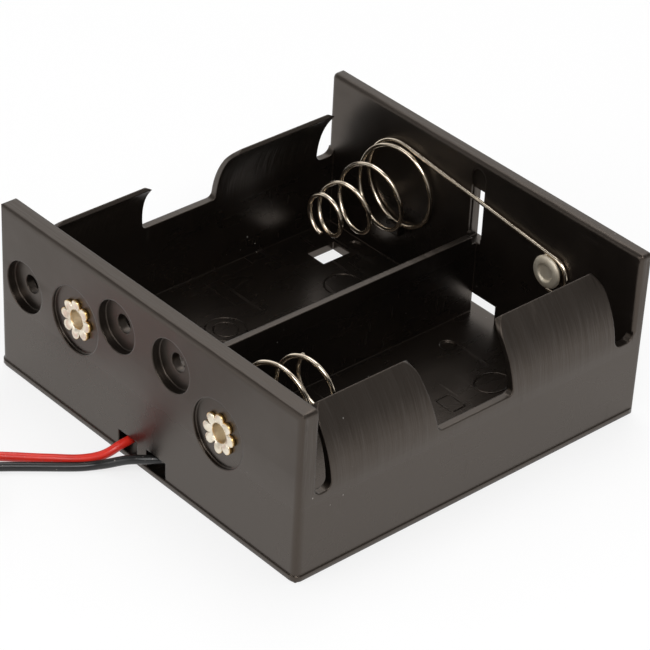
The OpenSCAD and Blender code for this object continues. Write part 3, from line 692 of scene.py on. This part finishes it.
def makeMark(plan, name, centre, half, power):
    # A low round bead carried along the outline |x / a|^n + |y / b|^n = 1
    n = plan["sides"]
    t = np.arange(n) * 2 * np.pi / n
    total = np.abs(np.cos(t) / half[0]) ** power + np.abs(np.sin(t) / half[1]) ** power
    a = np.linspace(0, np.pi, plan["bead"])
    off = np.r_[np.cos(a) * plan["width"] / 2, 0]
    up = np.r_[np.sin(a) * plan["height"], -plan["foot"]]
    r = (total ** (-1 / power))[:, None] + off
    x, y = centre[0] + r * np.cos(t)[:, None], centre[1] + r * np.sin(t)[:, None]
    points = np.stack([x, y, plan["floor"] - plan["sunk"] + up + 0 * r], -1).reshape(-1, 3)
    m = len(off)
    i, j = (g.ravel() for g in np.meshgrid(np.arange(n), np.arange(m), indexing="ij"))
    k, w = (i + 1) % n, (j + 1) % m
    faces = np.stack([i * m + j, k * m + j, k * m + w, i * m + w], -1)
    makePiece(name, points * mm, faces.tolist(), housingPlastic)


for mark in floorMarks:
    makeMark(markPlan, *mark)
print("floor marked")

springPlan = {  # mm, degrees, and parts of a turn
    "wire": 0.75, "base": 7.8, "pitch": 5.8, "openTurns": 2.85, "closedPitch": 1.06, "gap": 0.02,
    "barrel": 2.0, "sides": 14, "turnSteps": 72, "ease": 0.2,
    "link": {
        "end": 3.7, "flat": 0.8, "closed": 0.85, "centre": (17.9, 17.6), "loop": 3.15,
        "loopTurn": 330, "loopSteps": 150, "straightSteps": 60, "pull": 30},
    "negative": {
        "end": 4.7, "flat": 0.62, "closed": 0.5, "centre": (-17.5, 17.6), "lug": 0.4, "late": 0.7,
        "sweep": 115, "loopTurn": (-300, -2), "loopSteps": 140, "spiralSteps": 60},
}


def easedIn(t, w):
    # 0 below -w, t above w, and the parabola (t + w)^2 / 4w between
    return np.where(t <= -w, 0, np.where(t >= w, t, (t + w) ** 2 / (4 * w)))


def smooth(k):
    # 3 k^2 - 2 k^3 from 0 to 1
    k = np.clip(k, 0, 1)
    return k * k * (3 - 2 * k)


def around(x, spot, r, a):
    # The point at angle a from the top, turning towards -Y
    a = np.radians(a)
    return np.stack([x + 0 * a, spot[0] - r * np.sin(a), spot[1] + r * np.cos(a)], -1)


def coneTurns(plan, end, u):
    # Rise and radius at u turns up the open part: pitch x rise, and a radius that falls evenly from
    # the base to the end; both ends run out into closed turns
    past = easedIn(u - plan["openTurns"], plan["ease"])
    rise = easedIn(u, plan["ease"]) - past
    lift = plan["pitch"] * rise + plan["closedPitch"] * plan["wire"] * past
    return lift, plan["base"] + (end - plan["base"]) * rise / plan["openTurns"]


def linkSpringPath(plan):
    # End turn, open turns and base turn, then the straight run, then the loop round the rivet
    s, wire = plan["link"], plan["wire"]
    x = plateFaces["backIn"] - wire / 2 - plan["gap"]
    centre = np.array(s["centre"])
    slack = s["loop"] - wire / 2 - plan["barrel"] - 2 * plan["gap"]
    pull = math.radians(s["pull"])  # the run pulls the loop to one side of its rivet
    loop = np.array(contactSpots["link"]) - slack * np.array([math.cos(pull), math.sin(pull)])
    run = centre - loop
    lean = math.asin((plan["base"] - s["loop"]) / np.linalg.norm(run))
    tilt = math.degrees(math.atan(run[1] / run[0]) + lean)
    turns = s["flat"] + plan["openTurns"] + s["closed"]
    v = np.linspace(turns, 0, int(turns * plan["turnSteps"]))
    lift, r = coneTurns(plan, s["end"], v - s["flat"])
    cone = around(x - lift, centre, r, tilt - 360 * v)
    last = around(np.array(x), loop, s["loop"], tilt)
    t = np.linspace(0, 1, s["straightSteps"])[1:-1, None]
    a = tilt + np.linspace(0, s["loopTurn"], s["loopSteps"])
    return np.r_[cone, cone[-1] + t * (last - cone[-1]), around(x, loop, s["loop"], a)]


def negativeSpringPath(plan):
    # Loop under the eyelet's head, spiral out to the base turn, open turns and end turn
    s, wire = plan["negative"], plan["wire"]
    x = plateFaces["frontIn"] + wire / 2 + plan["gap"]
    inner = plan["barrel"] + wire / 2 + 2 * plan["gap"]
    begin = 180 - 360 * s["flat"]
    spot, centre = np.array(contactSpots["negative"]), np.array(s["centre"])
    a = begin - s["sweep"] + np.linspace(*s["loopTurn"], s["loopSteps"])
    loop = around(x + s["lug"], spot, inner, a)
    t = np.linspace(0, 1, s["spiralSteps"])
    b = smooth(t)
    drop = x + s["lug"] * (1 - smooth(2 * t - s["late"]))
    r = inner + (plan["base"] - inner) * b
    spiral = around(drop, (0, 0), r, begin - s["sweep"] * (1 - t))
    spiral[:, 1:] += (1 - b)[:, None] * spot + b[:, None] * centre
    turns = s["flat"] + plan["openTurns"] + s["closed"]
    v = np.linspace(0, turns, int(turns * plan["turnSteps"]))[1:]
    lift, r = coneTurns(plan, s["end"], v - s["flat"])
    return np.r_[loop, spiral, around(x + lift, centre, r, begin + 360 * v)]


def makeSpring(plan, name, path, node):
    points, faces, uv = tubeAlong(path, plan["wire"] / 2, plan["sides"], (1, 0, 0))
    makePiece(name, points * mm, faces, wireNickel, uv=uv * (1, mm), replaced=[node])


makeSpring(springPlan, "linkSpringWire", linkSpringPath(springPlan), "link_spring")
makeSpring(springPlan, "negativeSpringWire", negativeSpringPath(springPlan), "negative_spring")
print("springs wound")

eyeletPlan = {  # mm; a profile's row is radius, height and share of bare brass
    "head": [  # heights over the head's top, from its middle out
        (0.7, -0.3, 0), (1.2, -0.3, 0), (1.38, -0.26, 0), (1.52, -0.12, 0), (1.64, -0.02, 0.2),
        (1.8, 0, 0.3), (2.1, -0.03, 0.2), (2.5, -0.12, 0.1), (2.78, -0.28, 0), (2.9, -0.5, 0),
        (2.86, -0.72, 0)],
    "underHead": [(2.75, 0, 0.3), (2.1, 0, 0), (2.0, -0.1, 0)],  # over what the head lies on
    "barrelFoot": [(2.0, 0.15, 0), (2.06, 0, 0)],  # over the seat outside
    "boreWall": [(0.03, 0, 0.5), (0.08, 0.8, 0.2)],  # radii less than the bore's, over the seat
    "bottom": [(0.3, 0.1, 0), (1.15, 0.2, 0)],  # and over what the head lies on
    "thick": 0.85, "bore": 1.65, "seat": 0.6, "sides": 240,
    "petals": 8, "reach": 3.6, "split": 2.3, "petal": 0.35, "edge": 0.12, "edgeShare": 0.96,
    "lip": 0.1, "throat": 0.06, "floor": 0.22, "shift": 0.05, "smallest": 0.9,
    "crown": 0.34, "crownSteps": 14, "crownFrom": 0.985, "crownShape": (0.9, 0.16, 0.6),
    "brass": 2.5, "brassFrom": 0.72,  # it shows at the petals' tips, past this share of the way
}
eyelets = {  # stack is what the head lies on, and plate the plate's thickness, mm
    "positiveEyeletMetal": {
        "node": "positive_eyelet", "contact": "positive", "face": "frontIn", "inward": 1,
        "stack": 0.44, "plate": 3.0, "seed": 5, "finish": contactNickel},
    "negativeEyeletMetal": {
        "node": "negative_eyelet", "contact": "negative", "face": "frontIn", "inward": 1,
        "stack": 1.23, "plate": 3.0, "seed": 8, "finish": contactNickel},
    "linkRivetMetal": {
        "node": "link_rivet", "contact": "link", "face": "backIn", "inward": -1,
        "stack": 0.81, "plate": 2.2, "seed": 3, "finish": rivetNickel},
}


def petalOutline(plan, a, seed):
    # Reach of the crimped end at angle a: round lobes, d cos p + sqrt(r^2 - (d sin p)^2), with
    # narrow splits between them, each a little different
    rng = np.random.default_rng(seed)
    n = plan["petals"]
    lobe = plan["reach"] * math.sin(math.pi / n) / (1 + math.sin(math.pi / n))
    shift = rng.uniform(-plan["shift"], plan["shift"], n)
    size = rng.uniform(plan["smallest"], 1.0, n)
    k = np.round(a / (2 * np.pi) * n).astype(int) % n
    phi = (a - k * 2 * np.pi / n + np.pi) % (2 * np.pi) - np.pi - shift[k]
    r, d = lobe * size[k], plan["reach"] - lobe
    inside = np.clip(r**2 - (d * np.sin(phi)) ** 2, 0, None)
    edge = np.maximum(d * np.cos(phi) + np.sqrt(inside), plan["split"])
    fullness = np.clip(np.sqrt(inside) / r, 0, 1)  # 1 along the middle of a petal, 0 in a split
    return np.where(inside > 0, edge, plan["split"]), fullness


def eyeletRows(plan, stack, plate, a, seed):
    # Profile turned about the axis, from the middle of the head round to the bottom of the bore;
    # heights point into the bay. The petals' crown is crown x sin^n, less deep in the splits
    top, far, bore = stack + plan["thick"], plan["seat"] - plate, plan["bore"]
    edge, full = petalOutline(plan, a, seed)
    rows = [(r, z + top, b) for r, z, b in plan["head"]]
    rows += [(r, z + stack, b) for r, z, b in plan["underHead"]]
    rows += [(r, z + far, b) for r, z, b in plan["barrelFoot"]]
    rows += [(edge * plan["edgeShare"], far, 1), (edge, far - plan["edge"], 1)]
    grow, begin, power = plan["crownShape"]
    throat = bore + plan["throat"]
    for s in np.linspace(plan["crownFrom"], 0, plan["crownSteps"]):  # from the tips to the bore
        crown = math.sin(math.pi * min(1, (1 - s) * grow + begin)) ** power
        height = plan["petal"] - plan["lip"] + plan["crown"] * crown
        valley = full**0.5 * s + (1 - s)
        brass = max(0, plan["brass"] * (s - plan["brassFrom"]))
        rows.append((throat + (edge - throat) * s, far - plan["lip"] - height * valley, brass))
    rows += [(bore, far - plan["petal"] + plan["edge"], 0.7)]
    rows += [(bore - less, far + z, b) for less, z, b in plan["boreWall"]]
    rows += [(bore - less, stack + z, b) for less, z, b in plan["bottom"]]
    return rows, top + plan["head"][0][1], stack + plan["floor"]


def makeEyelet(plan, name, node, contact, face, inward, stack, plate, seed, finish):
    spot, n = contactSpots[contact], plan["sides"]
    a = np.arange(n) * 2 * np.pi / n
    rows, first, last = eyeletRows(plan, stack, plate, a, seed)
    r, z = (np.array([row[k] + 0 * a for row in rows]) for k in (0, 1))
    local = np.stack([r * np.cos(a), r * np.sin(a), z], -1).reshape(-1, 3)
    local = np.r_[local, [[0, 0, first], [0, 0, last]]]
    x = plateFaces[face] + inward * local[:, 2]
    points = np.stack([x, spot[0] + local[:, 1], spot[1] - inward * local[:, 0]], -1)
    i, j, _ = ringGrid(len(rows), n)
    bare = np.array([row[2] for row in rows], float)
    here, after, u0, u1 = bare[i], bare[i + 1], j / n, (j + 1) / n
    corners = [np.stack(c, -1) for c in ((u0, here), (u0, after), (u1, after), (u1, here))]
    uv = np.r_[np.stack(corners, 1).reshape(-1, 2), np.zeros((6 * n, 2))]
    faces = turnedFaces(len(rows), n)
    makePiece(name, points * mm, faces, finish, uv=uv, replaced=[node])


for name, eyelet in eyelets.items():
    makeEyelet(eyeletPlan, name, **eyelet)
print("eyelets crimped")

solderPlan = {  # mm, and powers of the drop's outline
    "radius": 1.25, "reach": 4.7, "top": 0.44, "height": 1.6, "foot": 0.02, "waves": 0.09,
    "spread": 0.8, "round": 2.2, "fall": 0.75, "rows": 14, "sides": 56,
}


def tailPoint(lead, reach, height):
    # A place on a lug's tail; the tail's angle runs from -Z towards +Y
    t = math.radians(lead["tail"])
    y, z = lead["spot"][0] + reach * math.sin(t), lead["spot"][1] - reach * math.cos(t)
    return np.array([plateFaces["frontIn"] + height, y, z])


def makeSolder(plan, colour, seed):
    # A drop over its foot: height (1 - s^n)^m falls from the crown to a wavy edge on the lug
    rng = np.random.default_rng(seed)
    m, n = plan["rows"], plan["sides"]
    s, a = np.linspace(0, 1, m + 1)[1:, None], np.arange(n)[None] * 2 * np.pi / n
    wave = sum(rng.uniform(-1, 1) * np.cos(k * a + rng.uniform(0, 6)) / k for k in (2, 3, 5))
    wave = wave * plan["waves"]
    r = plan["radius"] * (1 + wave * s) * s ** plan["spread"]
    x = plan["height"] * (1 - s ** plan["round"]) ** plan["fall"] * (1 + 0.5 * wave)
    foot = tailPoint(leadPlan[colour], plan["reach"], plan["top"])
    y, z = foot[1] + r * np.sin(a), foot[2] - r * np.cos(a)
    points = np.stack([foot[0] + x, y, z], -1).reshape(-1, 3)
    points = np.r_[points, [foot + (plan["height"], 0, 0), foot + (plan["foot"], 0, 0)]]
    makePiece(
        f"{colour}SolderBead", points * mm, turnedFaces(m, n), solderTin,
        replaced=[f"{colour}_solder"])


def makeInnerLead(plan, colour, sheath):
    # One cubic curve from the solder over the spring's base turn and down to the window:
    # (1-k)^3 p0 + 3k (1-k)^2 p1 + 3k^2 (1-k) p2 + k^3 p3
    lead, inside = plan[colour], plan["inside"]
    t = math.radians(lead["tail"])
    route = leadRoute(lead)
    way = unit(route[1] - route[0])
    start = tailPoint(lead, solderPlan["reach"], inside["lift"] + plan["diameter"] / 2)
    tail = np.array([0, math.sin(t), -math.cos(t)])
    over = start + (inside["rise"], 0, 0) + inside["forward"] * tail
    k = np.linspace(0, 1, inside["steps"])[:, None]
    path = (1 - k) ** 3 * start + 3 * k * (1 - k) ** 2 * over
    path = path + 3 * k * k * (1 - k) * (route[0] - inside["pull"] * way) + k**3 * route[0]
    path = np.r_[path, [route[0] + inside["on"] * way]]  # and on into the lead outside
    radius = np.full(len(path), plan["diameter"] / 2)
    radius[-2:] *= inside["slim"]
    points, faces, uv = tubeAlong(path, radius, plan["sides"], np.cross(tail, way), 0)
    makePiece(
        f"{colour}LeadInside", points * mm, faces, sheath, uv=uv * (1, mm),
        replaced=[f"{colour}_lead_inner"])


makeSolder(solderPlan, "red", 2)
makeSolder(solderPlan, "black", 6)
makeInnerLead(leadPlan, "red", redSheath)
makeInnerLead(leadPlan, "black", blackSheath)
print("leads soldered")

stagePlan = {
    "floor": 1.6, "white": (0.86, 0.86, 0.86), "fleck": (60, 3, 0.5), "fleckTone": 0.985,
    "below": 0.00002, "paperWhite": 0.72,  # metres, and the share of plain white in the paper
    "world": 0.62,  # the light all round
    "backdrop": (0.68, 0.73, 0.0), "room": 0.3, "ceiling": 0.1,  # what the gloss mirrors
    "screenEdge": (0.15, 0.7), "screenTop": (0.7, 0.95), "roomTop": (0.6, 0.9),
    "horizon": (-0.06, 0.1),
}


def rayKinds(tree):
    path = tree.nodes.new("ShaderNodeLightPath")
    kinds = ("Is Camera Ray", "Is Glossy Ray", "Is Transmission Ray")
    return [Flow(tree, path.outputs[kind]) for kind in kinds]


def whiteToCamera(tree, shader, share):
    # Part of what the camera and the mirrors see is plain white; the rest keeps the soft shadow
    camera, glossy, through = rayKinds(tree)
    seen = camera.orMore(glossy).orMore(through)
    glow = addNode(tree, "ShaderNodeEmission", {}, {"Color": (1.0, 1.0, 1.0), "Strength": 1.0})
    return addNode(tree, "ShaderNodeMixShader", {}, {0: seen * share, 1: shader, 2: glow})


def makeFloor(plan):
    f = Finish("floorPaper")
    shade = tuple(c * plan["fleckTone"] for c in plan["white"])
    base = f.mixed(f.noise(*plan["fleck"]), plan["white"], shade)
    paper = f.add("ShaderNodeBsdfDiffuse", {}, {"Color": base})
    material = f.finished(whiteToCamera(f.tree, paper, plan["paperWhite"]))
    size, low = plan["floor"], cadLow[2] - plan["below"]
    corners = [(x * size, y * size, low) for x, y in ((-1, -1), (1, -1), (1, 1), (-1, 1))]
    mesh = bpy.data.meshes.new("floor")
    mesh.from_pydata(corners, [], [(0, 1, 2, 3)])
    mesh.materials.append(material)
    floor = bpy.data.objects.new("floor", mesh)
    bpy.context.scene.collection.objects.link(floor)


def makeWorld(plan):
    # Plain light all round; gloss mirrors a dim room with a white screen on one side
    world = bpy.data.worlds.new("studio")
    bpy.context.scene.world = world
    world.use_nodes = True
    tree = world.node_tree
    tree.nodes.clear()
    camera, glossy, through = rayKinds(tree)
    seen = camera.orMore(through)
    way = addNode(tree, "ShaderNodeTexCoord", out="Generated")
    height = addNode(tree, "ShaderNodeSeparateXYZ", {}, {"Vector": way}, 2)
    dot = {0: way, 1: plan["backdrop"]}
    far = addNode(tree, "ShaderNodeVectorMath", {"operation": "DOT_PRODUCT"}, dot, 1)
    screen = far.ramp(*plan["screenEdge"]) * (1.0 - height.ramp(*plan["screenTop"]))
    white = screen.orMore(1.0 - height.ramp(*plan["horizon"]))
    room = plan["room"] - height.ramp(*plan["roomTop"]) * (plan["room"] - plan["ceiling"])
    mirror = room + white * (1.0 - room)
    strength = seen + (1.0 - seen) * (glossy * mirror + (1.0 - glossy) * plan["world"])
    light = {"Color": (1.0, 1.0, 1.0), "Strength": strength}
    air = addNode(tree, "ShaderNodeBackground", {}, light)
    tree.links.new(air.socket, tree.nodes.new("ShaderNodeOutputWorld").inputs["Surface"])


lampPlan = [  # name, place, size, power in watts
    ("keyLamp", (-0.35, -0.55, 0.75), 0.55, 4.0),
    ("fillLamp", (-0.75, 0.1, 0.35), 0.5, 1.2),
    ("topLamp", (0.25, 0.25, 0.9), 0.6, 2.5),
]


def makeLamps(plan):
    for name, place, size, power in plan:
        lamp = bpy.data.lights.new(name, "AREA")
        lamp.shape, lamp.size, lamp.energy = "DISK", size, power
        thing = bpy.data.objects.new(name, lamp)
        thing.location = place
        thing.rotation_euler = (-Vector(place)).to_track_quat("-Z", "Y").to_euler()
        bpy.context.scene.collection.objects.link(thing)


makeFloor(stagePlan)
makeWorld(stagePlan)
makeLamps(lampPlan)
bpy.context.scene.view_settings.view_transform = "Standard"
print("stage lit")
